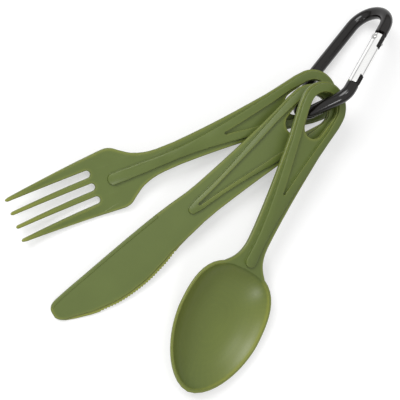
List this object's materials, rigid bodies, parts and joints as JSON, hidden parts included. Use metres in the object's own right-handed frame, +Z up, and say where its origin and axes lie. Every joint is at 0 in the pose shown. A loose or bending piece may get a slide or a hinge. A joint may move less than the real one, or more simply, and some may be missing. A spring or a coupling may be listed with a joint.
{
  "type": "cutlery pack",
  "caption": "Camping fork, knife and spoon of green plastic, threaded by the loops in their handles on a black accessory carabiner with a bright sprung gate.",
  "frame": {"origin": "table point under the middle of the pack's box", "axes": "+Z up from the table the pack lies on; +X and +Y as the picture's right and top; the fork points to -X, the spoon to -Y"},
  "size_m": [0.1774, 0.1812, 0.0302],
  "materials": {
    "green_plastic": "semi-gloss moulded plastic, olive green",
    "black_rod": "glossy black anodised",
    "bright_gate": "polished",
    "steel": "plain bright wire and rivet"
  },
  "bodies": {
    "carabiner": {"carabiner_body": "black_rod", "gate_rivet": "steel"},
    "gate": {"carabiner_gate": "bright_gate", "gate_spring": "steel"},
    "fork": {"fork": "green_plastic"},
    "knife": {"knife": "green_plastic"},
    "spoon": {"spoon": "green_plastic"}
  },
  "joints": [
    {"name": "gate_turn", "type": "hinge", "parent": "carabiner", "child": "gate", "pos_m": [0.07926, 0.07057, 0.02168], "axis": [0.6649, -0.5356, -0.5205], "range_deg": [0, 25], "stiffness_Nm_per_rad": 0.05, "springref_deg": -40.11},
    {"name": "fork_swing", "type": "hinge", "parent": "carabiner", "child": "fork", "pos_m": [0.04849, 0.04437, 0.00835], "axis": [0, 0, 1], "range_deg": [-10, 3]},
    {"name": "knife_swing", "type": "hinge", "parent": "carabiner", "child": "knife", "pos_m": [0.04677, 0.03514, 0.01381], "axis": [0, 0, 1], "range_deg": [-2.5, 8]},
    {"name": "spoon_swing", "type": "hinge", "parent": "carabiner", "child": "spoon", "pos_m": [0.05123, 0.03385, 0.02037], "axis": [0, 0, 1], "range_deg": [-3, 11]}
  ]
}
